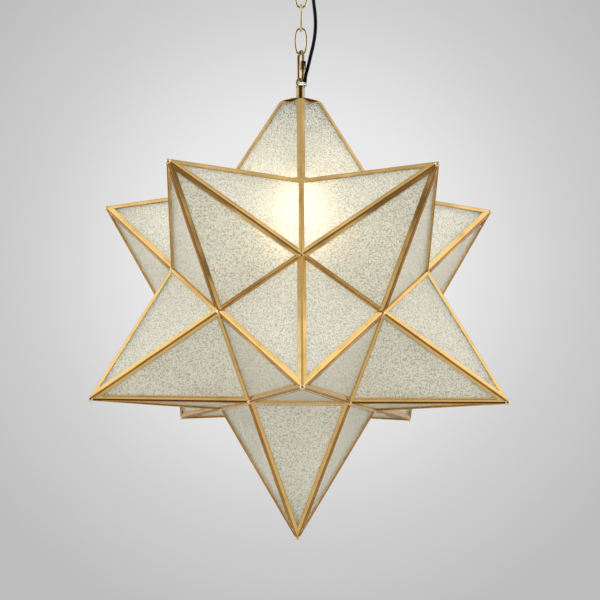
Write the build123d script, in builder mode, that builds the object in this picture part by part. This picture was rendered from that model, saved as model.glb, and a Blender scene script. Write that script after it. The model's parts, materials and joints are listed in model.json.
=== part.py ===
from build123d import *
import math
import os

# Moravian star pendant: a twelve-pointed glass star in folded brass strips, hung on a short chain.
# Millimetres. The origin is on the ceiling, at the centre of the mounting bar's two screw holes.
# +Z is up, and the viewer of the star stands on the -Y side, with +X to the right.

# ---------------------------------------------------------------- driving dimensions

# star
tip_radius = 250.0  # star centre to the end of each point
corner_radius = 142.0  # star centre to the corners where three points meet
glass_thickness = 2.5
glass_inset = 1.8  # pane edge to the line where two panes would meet
strip_thickness = 0.9
ridge_width = 4.4  # each flange of a ridge strip
valley_width = 3.3  # each flange of a valley strip
ridge_fold_radius = 2.2  # outside of the fold
seam_gap = 0.1  # solder seam between the mitred ends of strips

# cap and stem
cap_disc_radius = 21.5
cap_overhang = 1.1  # how far the corners of the cut top stand out past the cap disc
cap_disc_thickness = 1.2
stem_radius = 4.5
stem_bore_radius = 3.6
stem_rise = 16.0  # stem tube above the cap disc
stem_drop = 33.0  # stem tube below the cap disc
stem_collar_radius = 6.2
stem_collar_height = 2.2
stem_nut_size = 13.0  # across flats
stem_nut_height = 4.0
stem_washer_radius = 9.0
washer_thickness = 1.0

# hang loop and cord outlet
loop_wire_radius = 1.1
loop_ring_radius = 4.6  # to the middle of the wire
loop_plate_radius = 4.9
loop_plate_thickness = 1.5
spigot_radius = 3.55
spigot_bore_radius = 2.3
spigot_depth = 8.0
turn_gap = 0.3  # between the stem's end and the loop's plate
outlet_radius = 4.6
outlet_height = 3.3
outlet_centre = (2.3, -0.9)
loop_turn = 26.0  # degrees that the loop and the quick link stand turned about the vertical

# quick link
quick_wire_radius = 1.5
quick_half_width = 5.2  # to the middle of the wire
quick_height = 33.4  # between the middles of its bows
quick_gap = 5.0  # opening that the sleeve covers
quick_gap_rise = 13.65  # bottom bow to the opening's lower side
sleeve_size = 5.4  # across flats
sleeve_length = 9.0
sleeve_lap = 1.5  # covers the lower side of the opening by this much
sleeve_clearance = 0.05
ferrule_radius = 2.3
ferrule_length = 3.2

# chain
wire_radius = 1.2
link_length = 31.0
link_width = 15.0
link_end_radius = 5.0  # to the middle of the wire
link_count = 3
contact_gap = 0.25  # between wires that hang in each other

# ceiling fitting
canopy_radius = 55.0
canopy_height = 26.0
canopy_wall = 0.9
canopy_edge_radius = 9.0
bar_length = 90.0
bar_width = 15.0
bar_thickness = 2.0
bar_screw_spacing = 70.0
bar_screw_radius = 2.4
nipple_radius = 4.95
nipple_bore_radius = 3.6
nipple_nut_size = 14.0  # across flats
nipple_nut_height = 4.0
canopy_loop_wire_radius = 2.0
canopy_loop_ring_radius = 8.0  # to the middle of the wire
canopy_loop_base_radius = 7.0
canopy_loop_base_height = 8.0
canopy_loop_sink = 1.0  # ring's top wire set into the base
thread_clearance = 0.05
earth_screw_radius = 2.0
earth_screw_head_radius = 3.8
earth_screw_head_height = 2.4
earth_screw_place = -22.0
terminal_length = 20.0
terminal_width = 15.0
terminal_height = 11.0

# cord
cord_diameter = 3.8
grip_place = 16.0  # cord grip's distance from the canopy's centre
grip_radius = 4.0
grip_flange_radius = 5.4
grip_flange_thickness = 1.4
grip_nose_length = 5.0
grip_tail_length = 5.0
grip_clearance = 0.05

# lamp
holder_cap_radius = 20.0
holder_cap_height = 15.0
holder_radius = 19.0
holder_length = 42.0
holder_wall = 2.0
holder_neck_radius = 7.0
holder_neck_height = 5.0
screw_shell_radius = 14.2
screw_shell_wall = 0.5
screw_shell_length = 24.0
contact_carrier_height = 6.0
bulb_base_radius = 13.3
bulb_base_length = 22.0
bulb_globe_radius = 30.0
bulb_neck_radius = 12.6
bulb_globe_length = 82.0
bulb_wall = 1.0
bulb_seat_gap = 0.3

# access point, the upper rear one, hinged at its top edge
door_gap = 0.3  # each side of the line where it leaves the star
hinge_tube_radius = 1.6
hinge_pin_radius = 0.8
hinge_clearance = 0.05
hinge_length = 36.0
hinge_tube_gap = 0.3
hinge_head_radius = 1.4
hinge_head_height = 0.8
hinge_web_width = 1.6

# ---------------------------------------------------------------- proportions of one point

ring_level = math.degrees(math.atan(0.5))  # how far the two rings of points lean up and down
tip_half_angle = (90 - ring_level) / 2  # half the angle between two neighbouring points
corner_angle = math.degrees(math.asin(math.sin(math.radians(tip_half_angle)) / math.sin(math.radians(60))))
base_height = corner_radius * math.cos(math.radians(corner_angle))  # star centre to a point's base
base_radius = corner_radius * math.sin(math.radians(corner_angle))
cut_radius = cap_disc_radius + cap_overhang  # to the ridge lines, where the top point is cut off
cap_level = tip_radius - cut_radius * (tip_radius - base_height) / base_radius

# ---------------------------------------------------------------- heights, from the ceiling down

canopy_loop_base_z = -canopy_height  # top of the loop's base, under the canopy
canopy_ring_z = canopy_loop_base_z - canopy_loop_base_height - canopy_loop_ring_radius + canopy_loop_sink
swing_z = canopy_ring_z - canopy_loop_ring_radius  # middle of the wire that the chain hangs on
link_pitch = link_length - 2 * wire_radius  # between the middles of a link's bows
link_step = link_pitch - 2 * wire_radius - contact_gap  # from one link's top bow to the next one's
first_link_z = swing_z + canopy_loop_wire_radius + contact_gap + wire_radius
last_bow_z = first_link_z - (link_count - 1) * link_step - link_pitch
quick_top_z = last_bow_z + wire_radius + contact_gap + quick_wire_radius
quick_bottom_z = quick_top_z - quick_height
loop_top_z = quick_bottom_z + quick_wire_radius + contact_gap + loop_wire_radius
loop_ring_z = loop_top_z - loop_ring_radius
plate_top_z = loop_ring_z - loop_ring_radius + loop_wire_radius
plate_z = plate_top_z - loop_plate_thickness
stem_top_z = plate_z - turn_gap
cap_top_z = stem_top_z - stem_rise
cap_z = cap_top_z - cap_disc_thickness
star_z = cap_z - cap_level
stem_end_z = cap_z - stem_drop
holder_top_z = stem_end_z + holder_neck_height
holder_z = holder_top_z - holder_neck_height - holder_cap_height
carrier_z = holder_z - contact_carrier_height
bulb_top_z = carrier_z - bulb_seat_gap
bulb_neck_z = bulb_top_z - bulb_base_length
outlet_top_z = plate_top_z + outlet_height
grip_end_z = -canopy_height - grip_flange_thickness - grip_nose_length

os.makedirs("parts", exist_ok=True)


def cosd(degrees):
    return math.cos(math.radians(degrees))


def sind(degrees):
    return math.sin(math.radians(degrees))


# ---------------------------------------------------------------- star geometry

star_centre = Vector(0, 0, star_z)
door_index = 2  # the upper point at the back


def ring_tip(azimuth, level):
    """Direction of a point in one of the two rings; azimuth 0 faces the viewer."""
    return Vector(sind(azimuth) * cosd(level), -cosd(azimuth) * cosd(level), sind(level))


top_tip = Vector(0, 0, 1)
bottom_tip = Vector(0, 0, -1)
upper_tips = [ring_tip(36 + 72 * k, ring_level) for k in range(5)]
lower_tips = [ring_tip(72 * k, -ring_level) for k in range(5)]
door_tip = upper_tips[door_index]

# One point in its own frame: the star's centre at the origin, its tip on +Z, a corner towards +X.
apex = Vector(0, 0, tip_radius)
corners = [Vector(base_radius * cosd(72 * k), base_radius * sind(72 * k), base_height) for k in range(5)]


def towards(start, end):
    return (end - start).normalized()


def facing(normal, inside):
    """The normal, turned to point to the side where inside is."""
    return normal if normal.dot(inside) > 0 else normal * -1


pane_normals = [towards(corners[k - 1], corners[k]).cross(towards(corners[k], apex)).normalized() for k in range(5)]
ridge_fold = 90 + pane_normals[0].get_angle(pane_normals[1]) / 2

# One valley in its own frame: the star's centre at the origin, the valley along X, its middle on +Z.
half_valley = base_radius * sind(36)
valley_height = math.sqrt(corner_radius**2 - half_valley**2)
valley_fold = math.degrees(
    math.atan2(tip_radius * sind(tip_half_angle), tip_radius * cosd(tip_half_angle) - valley_height)
)


def strip_profile(fold, width):
    """Outline of a folded strip: x points away from the glass, fold is the angle from x to a flange."""
    along = Vector(cosd(fold), sind(fold))
    out = Vector(sind(fold), -cosd(fold)) * strip_thickness
    edge = [along * width, along * width + out]
    side = [(p.X, p.Y) for p in edge]
    other = [(p.X, -p.Y) for p in reversed(edge)]
    return [(0, 0), *side, (strip_thickness / sind(fold), 0), *other, (0, 0)]


def mitre(corner, along, across):
    """Plane that halves the angle between two edges of a pane, facing the first, half a seam away."""
    normal = facing((along + across).cross(along.cross(across)).normalized(), along)
    return Plane(origin=corner + normal * (seam_gap / 2), z_dir=normal)


def ridge_planes():
    """What trims a ridge strip at its tip and its corner."""
    start, planes = corners[0], []
    for other in (corners[1], corners[4]):
        planes.append(mitre(start, towards(start, apex), towards(start, other)))
        planes.append(mitre(apex, towards(apex, start), towards(apex, other)))
        between = facing(start.cross(other).normalized(), apex)
        planes.append(Plane(origin=between * (seam_gap / 2), z_dir=between))
    return planes


def valley_planes():
    """What trims a valley strip at both of its ends."""
    ends = [Vector(side * half_valley, 0, valley_height) for side in (-1, 1)]
    tips = [Vector(0, side * sind(tip_half_angle), cosd(tip_half_angle)) * tip_radius for side in (-1, 1)]
    return [
        mitre(ends[k], towards(ends[k], ends[1 - k]), towards(ends[k], tip)) for k in (0, 1) for tip in tips
    ]


def tip_plane(tip, corner_side):
    """Where a point's own frame stands on the star; corner_side is where one of its corners lies."""
    across = corner_side - tip * corner_side.dot(tip)
    return Plane(origin=star_centre, x_dir=across, z_dir=tip)


def valley_plane(tip, other):
    """Where a valley's own frame stands on the star; its +Y side is the first point's."""
    return Plane(origin=star_centre, x_dir=tip.cross(other), z_dir=(tip + other).normalized())


# name, direction, and where one of its corners lies
star_points = [("top_point", top_tip, Vector(0, -1, 0)), ("bottom_point", bottom_tip, Vector(0, 1, 0))]
for k in range(5):
    if k != door_index:
        star_points.append((f"upper_point_{k + 1}", upper_tips[k], bottom_tip))
for k in range(5):
    star_points.append((f"lower_point_{k + 1}", lower_tips[k], top_tip))

# every two neighbouring points share a valley
all_tips = [top_tip, bottom_tip, *upper_tips, *lower_tips]
neighbours = [
    (a, b)
    for i, a in enumerate(all_tips)
    for b in all_tips[i + 1 :]
    if abs(a.get_angle(b) - 2 * tip_half_angle) < 1
]
star_valleys = [valley_plane(a, b) for a, b in neighbours if door_tip not in (a, b)]
door_valleys = [valley_plane(door_tip, b if a == door_tip else a) for a, b in neighbours if door_tip in (a, b)]
hinge_plane = valley_plane(door_tip, top_tip)

# ---------------------------------------------------------------- one point's strips and panes

ridge_middle = (corners[0] + apex) * 0.5
ridge_direction = towards(corners[0], apex)
ridge_outward = Vector(ridge_direction.Z, 0, -ridge_direction.X)
ridge_half_length = (apex - corners[0]).length / 2

with BuildPart() as ridge_strip:
    with BuildSketch(Plane(origin=ridge_middle, x_dir=ridge_outward, z_dir=ridge_direction)):
        with BuildLine():
            Polyline(strip_profile(ridge_fold, ridge_width))
        make_face()
        fillet(vertices().sort_by(Axis((0, 0, 0), tuple(ridge_outward)))[-1], ridge_fold_radius)
    extrude(amount=ridge_half_length + ridge_width, both=True)
    for trim in ridge_planes():
        split(bisect_by=trim, keep=Keep.TOP)

with BuildPart() as point_strips:
    with PolarLocations(0, 5):
        add(ridge_strip.part)

pane_corner = corners[4]
pane_across = towards(corners[4], corners[0])
pane_plane = Plane(origin=pane_corner, x_dir=pane_across, z_dir=pane_normals[0])
pane_outline = [pane_plane.to_local_coords(v) for v in (corners[4], corners[0], apex)]

with BuildPart() as pane:
    with BuildSketch(pane_plane):
        with BuildLine():
            Polyline([(v.X, v.Y) for v in pane_outline], close=True)
        make_face()
        offset(amount=-glass_inset, kind=Kind.INTERSECTION, mode=Mode.REPLACE)
    extrude(amount=-glass_thickness)

with BuildPart() as point_panes:
    with PolarLocations(0, 5):
        add(pane.part)

for name, tip, corner_side in star_points:
    place = tip_plane(tip, corner_side)
    with BuildPart() as frame:
        with Locations(place.location):
            add(point_strips.part)
        if tip == top_tip:
            split(bisect_by=Plane.XY.offset(cap_z), keep=Keep.BOTTOM)
    frame.part.label = f"{name}_frame"
    export_step(frame.part, f"parts/{name}_frame.step")

    with BuildPart() as glass:
        with Locations(place.location):
            add(point_panes.part)
        if tip == top_tip:
            split(bisect_by=Plane.XY.offset(cap_z - glass_inset), keep=Keep.BOTTOM)
    glass.part.label = f"{name}_glass"
    export_step(glass.part, f"parts/{name}_glass.step")

# ---------------------------------------------------------------- valley strips

valley_sketch_plane = Plane(origin=(0, 0, valley_height), x_dir=(0, 0, 1), z_dir=(1, 0, 0))

with BuildPart() as valley_strip:
    with BuildSketch(valley_sketch_plane):
        with BuildLine():
            Polyline(strip_profile(valley_fold, valley_width))
        make_face()
    extrude(amount=half_valley, both=True)
    for trim in valley_planes():
        split(bisect_by=trim, keep=Keep.TOP)

with BuildPart() as valley_strips:
    with Locations(*[plane.location for plane in star_valleys]):
        add(valley_strip.part)
valley_strips.part.label = "valley_strips"
export_step(valley_strips.part, "parts/valley_strips.step")

# round the access point each valley strip is two: one flange stays, the other opens with the point
with BuildPart() as fixed_flange:
    add(valley_strip.part)
    split(bisect_by=Plane.XZ.offset(door_gap), keep=Keep.TOP)

with BuildPart() as opening_flange:
    add(valley_strip.part)
    split(bisect_by=Plane.XZ.offset(-door_gap), keep=Keep.BOTTOM)

with BuildPart() as access_surround:
    with Locations(*[plane.location for plane in door_valleys]):
        add(fixed_flange.part)
access_surround.part.label = "access_surround"
export_step(access_surround.part, "parts/access_surround.step")

door_place = tip_plane(door_tip, bottom_tip)

with BuildPart() as access_strips:
    with Locations(door_place.location):
        add(point_strips.part)
    with Locations(*[plane.location for plane in door_valleys]):
        add(opening_flange.part)
access_strips.part.label = "access_point_frame"
export_step(access_strips.part, "parts/access_point_frame.step")

with BuildPart() as access_glass:
    with Locations(door_place.location):
        add(point_panes.part)
access_glass.part.label = "access_point_glass"
export_step(access_glass.part, "parts/access_point_glass.step")

# ---------------------------------------------------------------- hinge of the access point

hinge_rise = (hinge_tube_radius + door_gap + strip_thickness) / sind(valley_fold)  # above the valley
hinge_foot = hinge_rise * cosd(valley_fold)
hinge_tube_length = (hinge_length - 2 * hinge_tube_gap) / 3
hinge_bore_radius = hinge_pin_radius + hinge_clearance


def hinge_section(side):
    """Tube with the solder web that joins it to one flange; side is 1 for the point, -1 for the star."""
    along = Vector(cosd(valley_fold), -side * sind(valley_fold))
    out = Vector(sind(valley_fold), side * cosd(valley_fold))
    near, far = hinge_foot - hinge_web_width / 2, hinge_foot + hinge_web_width / 2
    low, high = strip_thickness, hinge_rise * sind(valley_fold)
    web = [along * near + out * low, along * far + out * low, along * far + out * high, along * near + out * high]
    Polygon(*[(p.X, p.Y) for p in web], align=None)
    with Locations((hinge_rise, 0)):
        Circle(hinge_tube_radius)
        Circle(hinge_bore_radius, mode=Mode.SUBTRACT)


def hinge_sketch_plane(start):
    """Across the hinge, in the valley's own frame, start from its middle."""
    local = Plane(origin=(start, 0, valley_height), x_dir=(0, 0, 1), z_dir=(1, 0, 0))
    return Plane(hinge_plane.location * local.location)


with BuildPart() as hinge_tubes:
    for start in (-hinge_length / 2, hinge_length / 2 - hinge_tube_length):
        with BuildSketch(hinge_sketch_plane(start)):
            hinge_section(-1)
        extrude(amount=hinge_tube_length)
hinge_tubes.part.label = "hinge_tubes"
export_step(hinge_tubes.part, "parts/hinge_tubes.step")

with BuildPart() as access_hinge_tube:
    with BuildSketch(hinge_sketch_plane(-hinge_tube_length / 2)):
        hinge_section(1)
    extrude(amount=hinge_tube_length)
access_hinge_tube.part.label = "access_hinge_tube"
export_step(access_hinge_tube.part, "parts/access_hinge_tube.step")

with BuildPart() as hinge_pin:
    with BuildSketch(hinge_sketch_plane(-hinge_length / 2 - hinge_head_height)):
        with Locations((hinge_rise, 0)):
            Circle(hinge_pin_radius)
    extrude(amount=hinge_length + 2 * hinge_head_height)
    for start in (-hinge_length / 2 - hinge_head_height, hinge_length / 2):
        with BuildSketch(hinge_sketch_plane(start)):
            with Locations((hinge_rise, 0)):
                Circle(hinge_head_radius)
        extrude(amount=hinge_head_height)
hinge_pin.part.label = "hinge_pin"
export_step(hinge_pin.part, "parts/hinge_pin.step")

# ---------------------------------------------------------------- cut top of the top point

cut_apothem = cut_radius * cosd(36)
top_pane_lean = math.degrees(math.atan2(tip_radius - base_height, base_radius * cosd(36)))

# A flat flange on each cut pane, between the ridge strips' flanges.
with BuildPart() as rim_strip:
    rim_top = Vector(cut_apothem, 0, cap_z)
    rim_down = Vector(cosd(top_pane_lean), 0, -sind(top_pane_lean))
    rim_out = Vector(sind(top_pane_lean), 0, cosd(top_pane_lean))
    half_top = cut_radius * sind(36) - (ridge_width + seam_gap) / cosd(18)
    with BuildSketch(Plane(origin=rim_top, x_dir=rim_down, z_dir=rim_out)):
        grow = valley_width * math.tan(math.radians(18))
        with BuildLine():
            Polyline(
                [(0, -half_top), (valley_width, -half_top - grow), (valley_width, half_top + grow), (0, half_top)],
                close=True,
            )
        make_face()
    extrude(amount=strip_thickness)
    split(bisect_by=Plane.XY.offset(cap_z), keep=Keep.BOTTOM)

with BuildPart() as top_rim:
    with PolarLocations(0, 5, start_angle=-54):
        add(rim_strip.part)
top_rim.part.label = "top_rim_strips"
export_step(top_rim.part, "parts/top_rim_strips.step")

# ---------------------------------------------------------------- cap and stem

with BuildPart() as cap_disc:
    with BuildSketch(Plane.XY.offset(cap_z)):
        Circle(cap_disc_radius)
        Circle(stem_radius + thread_clearance, mode=Mode.SUBTRACT)
    extrude(amount=cap_disc_thickness)
    rim_edges = edges().filter_by(GeomType.CIRCLE).group_by(SortBy.RADIUS)[-1]
    fillet(rim_edges, cap_disc_thickness / 3)
cap_disc.part.label = "cap_disc"
export_step(cap_disc.part, "parts/cap_disc.step")

with BuildPart() as stem_tube:
    with BuildSketch(Plane.XY.offset(stem_end_z)):
        Circle(stem_radius)
        Circle(stem_bore_radius, mode=Mode.SUBTRACT)
    extrude(amount=stem_top_z - stem_end_z)
stem_tube.part.label = "stem_tube"
export_step(stem_tube.part, "parts/stem_tube.step")

with BuildPart() as stem_collar:
    with BuildSketch(Plane.XY.offset(cap_top_z)):
        Circle(stem_collar_radius)
        Circle(stem_radius + thread_clearance, mode=Mode.SUBTRACT)
    extrude(amount=stem_collar_height)
    top_edge = edges().filter_by(GeomType.CIRCLE).group_by(Axis.Z)[-1].sort_by(SortBy.RADIUS)[-1]
    chamfer(top_edge, stem_collar_height / 2, stem_collar_height / 3)
stem_collar.part.label = "stem_collar"
export_step(stem_collar.part, "parts/stem_collar.step")

with BuildPart() as stem_washer:
    with BuildSketch(Plane.XY.offset(cap_z - washer_thickness)):
        Circle(stem_washer_radius)
        Circle(stem_radius + thread_clearance, mode=Mode.SUBTRACT)
    extrude(amount=washer_thickness)
stem_washer.part.label = "stem_washer"
export_step(stem_washer.part, "parts/stem_washer.step")

with BuildPart() as stem_nut:
    with BuildSketch(Plane.XY.offset(cap_z - washer_thickness - stem_nut_height)):
        RegularPolygon(stem_nut_size / 2, 6, major_radius=False)
        Circle(stem_radius + thread_clearance, mode=Mode.SUBTRACT)
    extrude(amount=stem_nut_height)
stem_nut.part.label = "stem_nut"
export_step(stem_nut.part, "parts/stem_nut.step")

# ---------------------------------------------------------------- lampholder and its lead

with BuildPart() as holder_cap:
    with BuildSketch(Plane.XZ):
        with BuildLine():
            Polyline(
                [
                    (stem_radius + thread_clearance, holder_top_z),
                    (holder_neck_radius, holder_top_z),
                    (holder_neck_radius, holder_top_z - holder_neck_height),
                    (holder_cap_radius - 5, holder_top_z - holder_neck_height - 4),
                    (holder_cap_radius, holder_z + 4),
                    (holder_cap_radius, holder_z),
                    (holder_cap_radius - holder_wall, holder_z),
                    (holder_cap_radius - holder_wall, holder_z + 3),
                    (holder_cap_radius - 5 - holder_wall, holder_top_z - holder_neck_height - 4 - holder_wall),
                    (stem_radius + thread_clearance, holder_top_z - holder_neck_height - holder_wall),
                ],
                close=True,
            )
        make_face()
    revolve(axis=Axis.Z)
holder_cap.part.label = "holder_cap"
export_step(holder_cap.part, "parts/holder_cap.step")

with BuildPart() as holder_shell:
    with BuildSketch(Plane.XY.offset(holder_z - holder_length)):
        Circle(holder_radius)
        Circle(holder_radius - holder_wall, mode=Mode.SUBTRACT)
    extrude(amount=holder_length)
    with BuildSketch(Plane.XY.offset(holder_z - 4)):
        Circle(holder_cap_radius + 1)
        Circle(holder_radius, mode=Mode.SUBTRACT)
    extrude(amount=4 - seam_gap)
holder_shell.part.label = "holder_shell"
export_step(holder_shell.part, "parts/holder_shell.step")

with BuildPart() as contact_carrier:
    with BuildSketch(Plane.XY.offset(carrier_z)):
        Circle(holder_radius - holder_wall - thread_clearance)
    extrude(amount=contact_carrier_height)
    with BuildSketch(Plane.XY.offset(carrier_z)):
        with PolarLocations((screw_shell_radius + holder_radius - holder_wall) / 2, 2):
            Circle(1.2)
    extrude(amount=contact_carrier_height, mode=Mode.SUBTRACT)
contact_carrier.part.label = "contact_carrier"
export_step(contact_carrier.part, "parts/contact_carrier.step")

with BuildPart() as screw_shell:
    with BuildSketch(Plane.XY.offset(carrier_z - screw_shell_length)):
        Circle(screw_shell_radius)
        Circle(screw_shell_radius - screw_shell_wall, mode=Mode.SUBTRACT)
    extrude(amount=screw_shell_length)
screw_shell.part.label = "screw_shell"
export_step(screw_shell.part, "parts/screw_shell.step")

with BuildPart() as stem_lead:
    with BuildSketch(Plane.XY.offset(holder_z)):
        Circle(cord_diameter / 2)
    extrude(amount=plate_top_z - holder_z)
stem_lead.part.label = "stem_lead"
export_step(stem_lead.part, "parts/stem_lead.step")

# ---------------------------------------------------------------- bulb

bulb_globe_z = bulb_neck_z - bulb_globe_length + bulb_globe_radius


def bulb_outline(shrink):
    """Half outline of the globe and its neck, from the neck's top to the axis below."""
    radius = bulb_globe_radius - shrink
    neck = bulb_neck_radius - shrink
    blend_angle = 38.0
    blend = (radius * cosd(blend_angle), bulb_globe_z + radius * sind(blend_angle))
    Spline([(neck, bulb_neck_z), blend], tangents=[(0.15, -1), (sind(blend_angle), -cosd(blend_angle))])
    CenterArc((0, bulb_globe_z), radius, blend_angle, -90 - blend_angle)


with BuildPart() as bulb_globe:
    with BuildSketch(Plane.XZ):
        with BuildLine():
            bulb_outline(0)
            Polyline([(0, bulb_globe_z - bulb_globe_radius), (0, bulb_neck_z), (bulb_neck_radius, bulb_neck_z)])
        make_face()
    revolve(axis=Axis.Z)
    with BuildSketch(Plane.XZ):
        inner_radius = bulb_globe_radius - bulb_wall
        with BuildLine():
            bulb_outline(bulb_wall)
            Polyline(
                [(0, bulb_globe_z - inner_radius), (0, bulb_neck_z), (bulb_neck_radius - bulb_wall, bulb_neck_z)]
            )
        make_face()
    revolve(axis=Axis.Z, mode=Mode.SUBTRACT)
bulb_globe.part.label = "bulb_globe"
export_step(bulb_globe.part, "parts/bulb_globe.step")

with BuildPart() as bulb_base:
    with BuildSketch(Plane.XY.offset(bulb_neck_z)):
        Circle(bulb_base_radius)
    extrude(amount=bulb_base_length - 5)
    with BuildSketch(Plane.XY.offset(bulb_neck_z + bulb_base_length - 5)):
        Circle(bulb_base_radius - 1)
    extrude(amount=3, taper=60)
    with BuildSketch(Plane.XY.offset(bulb_neck_z + bulb_base_length - 5)):
        Circle(4.5)
    extrude(amount=5)
bulb_base.part.label = "bulb_base"
export_step(bulb_base.part, "parts/bulb_base.step")

# ---------------------------------------------------------------- hang loop and cord outlet

with BuildPart() as hang_loop:
    with BuildSketch(Plane.XY.offset(plate_z)):
        Circle(loop_plate_radius)
    extrude(amount=loop_plate_thickness)
    with BuildSketch(Plane.XY.offset(plate_z - spigot_depth)):
        Circle(spigot_radius)
    extrude(amount=spigot_depth)
    with Locations(Location((0, 0, loop_ring_z), (0, 0, loop_turn))):
        Torus(loop_ring_radius, loop_wire_radius, rotation=(90, 0, 0))
    with BuildSketch(Plane.XY.offset(plate_z - spigot_depth)):
        Circle(spigot_bore_radius)
    extrude(amount=spigot_depth + loop_plate_thickness, mode=Mode.SUBTRACT)
hang_loop.part.label = "hang_loop"
export_step(hang_loop.part, "parts/hang_loop.step")

with BuildPart() as cord_outlet:
    with BuildSketch(Plane.XY.offset(plate_top_z)):
        with Locations(outlet_centre):
            Circle(outlet_radius)
    extrude(amount=outlet_height)
    top_edges = edges().group_by(Axis.Z)[-1]
    chamfer(top_edges, outlet_height / 5)
    with Locations(Location((0, 0, loop_ring_z), (0, 0, loop_turn))):
        Torus(loop_ring_radius, loop_wire_radius + thread_clearance, rotation=(90, 0, 0), mode=Mode.SUBTRACT)
cord_outlet.part.label = "cord_outlet"
export_step(cord_outlet.part, "parts/cord_outlet.step")

# ---------------------------------------------------------------- quick link and its sleeve

quick_side = Vector(sind(loop_turn), -cosd(loop_turn), 0)  # towards the bar with the sleeve
quick_plane = Plane(origin=(0, 0, quick_bottom_z), x_dir=quick_side, z_dir=quick_side.cross(Vector(0, 0, 1)))
quick_straight = quick_height - 2 * quick_half_width
gap_low = quick_gap_rise
gap_high = quick_gap_rise + quick_gap

with BuildPart() as quick_link:
    with BuildLine(quick_plane) as quick_path:
        lower = Line((quick_half_width, gap_low), (quick_half_width, quick_half_width))
        bottom_bow = CenterArc((0, quick_half_width), quick_half_width, 0, -180)
        far_bar = Line((-quick_half_width, quick_half_width), (-quick_half_width, quick_half_width + quick_straight))
        top_bow = CenterArc((0, quick_half_width + quick_straight), quick_half_width, 180, -180)
        upper = Line((quick_half_width, quick_half_width + quick_straight), (quick_half_width, gap_high))
    with BuildSketch(Plane(origin=quick_path.line @ 0, z_dir=quick_path.line % 0)):
        Circle(quick_wire_radius)
    sweep(path=quick_path.line)
    ferrule_top = quick_path.line @ 0 - Vector(0, 0, sleeve_lap + contact_gap)
    with BuildSketch(Plane(origin=ferrule_top - Vector(0, 0, ferrule_length))):
        Circle(quick_wire_radius)
    with BuildSketch(Plane(origin=ferrule_top)):
        Circle(ferrule_radius)
    loft()
quick_link.part.label = "quick_link"
export_step(quick_link.part, "parts/quick_link.step")

sleeve_foot = quick_side * quick_half_width + Vector(0, 0, quick_bottom_z + gap_low - sleeve_lap)

with BuildPart() as link_sleeve:
    with BuildSketch(Plane(origin=sleeve_foot, x_dir=quick_side)):
        RegularPolygon(sleeve_size / 2, 6, major_radius=False)
        Circle(quick_wire_radius + sleeve_clearance, mode=Mode.SUBTRACT)
    extrude(amount=sleeve_length)
link_sleeve.part.label = "link_sleeve"
export_step(link_sleeve.part, "parts/link_sleeve.step")

# ---------------------------------------------------------------- chain

link_half_width = link_width / 2 - wire_radius
link_half_height = link_pitch / 2
end_centre = link_half_height - link_end_radius
side_radius = (link_half_width**2 + end_centre**2 - link_end_radius**2) / (2 * (link_half_width - link_end_radius))
side_centre = side_radius - link_half_width
side_sweep = math.degrees(math.asin(end_centre / (side_radius - link_end_radius)))

for number in range(link_count):
    middle = (0, 0, first_link_z - number * link_step - link_half_height)
    across = (1, 0, 0) if number % 2 == 0 else (0, 1, 0)
    face = (0, -1, 0) if number % 2 == 0 else (1, 0, 0)
    with BuildPart() as chain_link:
        with BuildLine(Plane(origin=middle, x_dir=across, z_dir=face)) as link_path:
            CenterArc((-side_centre, 0), side_radius, -side_sweep, 2 * side_sweep)
            CenterArc((0, end_centre), link_end_radius, side_sweep, 180 - 2 * side_sweep)
            CenterArc((side_centre, 0), side_radius, 180 - side_sweep, 2 * side_sweep)
            CenterArc((0, -end_centre), link_end_radius, 180 + side_sweep, 180 - 2 * side_sweep)
        with BuildSketch(Plane(origin=link_path.line @ 0, z_dir=link_path.line % 0)):
            Circle(wire_radius)
        sweep(path=link_path.line)
    chain_link.part.label = f"chain_link_{number + 1}"
    export_step(chain_link.part, f"parts/chain_link_{number + 1}.step")

# ---------------------------------------------------------------- ceiling fitting

with BuildPart() as canopy:
    with BuildSketch(Plane.XY.offset(-canopy_height)):
        Circle(canopy_radius)
    extrude(amount=canopy_height)
    fillet(edges().group_by(Axis.Z)[0], canopy_edge_radius)
    offset(amount=-canopy_wall, openings=faces().sort_by(Axis.Z)[-1])
    with BuildSketch(Plane.XY.offset(-canopy_height)):
        Circle(nipple_radius + thread_clearance)
        with Locations((grip_place, 0)):
            Circle(grip_radius + grip_clearance)
    extrude(amount=canopy_edge_radius, mode=Mode.SUBTRACT)
canopy.part.label = "canopy"
export_step(canopy.part, "parts/canopy.step")

with BuildPart() as mounting_bar:
    with BuildSketch(Plane.XY.offset(-bar_thickness)):
        RectangleRounded(bar_length, bar_width, bar_width / 3)
        Circle(nipple_radius + thread_clearance, mode=Mode.SUBTRACT)
        with Locations((-bar_screw_spacing / 2, 0), (bar_screw_spacing / 2, 0)):
            Circle(bar_screw_radius, mode=Mode.SUBTRACT)
        with Locations((earth_screw_place, 0)):
            Circle(earth_screw_radius + thread_clearance, mode=Mode.SUBTRACT)
    extrude(amount=bar_thickness)
mounting_bar.part.label = "mounting_bar"
export_step(mounting_bar.part, "parts/mounting_bar.step")

nipple_end_z = canopy_loop_base_z - canopy_loop_base_height * 0.6

with BuildPart() as canopy_nipple:
    with BuildSketch(Plane.XY.offset(nipple_end_z)):
        Circle(nipple_radius)
        Circle(nipple_bore_radius, mode=Mode.SUBTRACT)
    extrude(amount=-nipple_end_z)
canopy_nipple.part.label = "canopy_nipple"
export_step(canopy_nipple.part, "parts/canopy_nipple.step")

with BuildPart() as nipple_nut:
    with BuildSketch(Plane.XY.offset(-bar_thickness - nipple_nut_height)):
        RegularPolygon(nipple_nut_size / 2, 6, major_radius=False)
        Circle(nipple_radius + thread_clearance, mode=Mode.SUBTRACT)
    extrude(amount=nipple_nut_height)
nipple_nut.part.label = "nipple_nut"
export_step(nipple_nut.part, "parts/nipple_nut.step")

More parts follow.
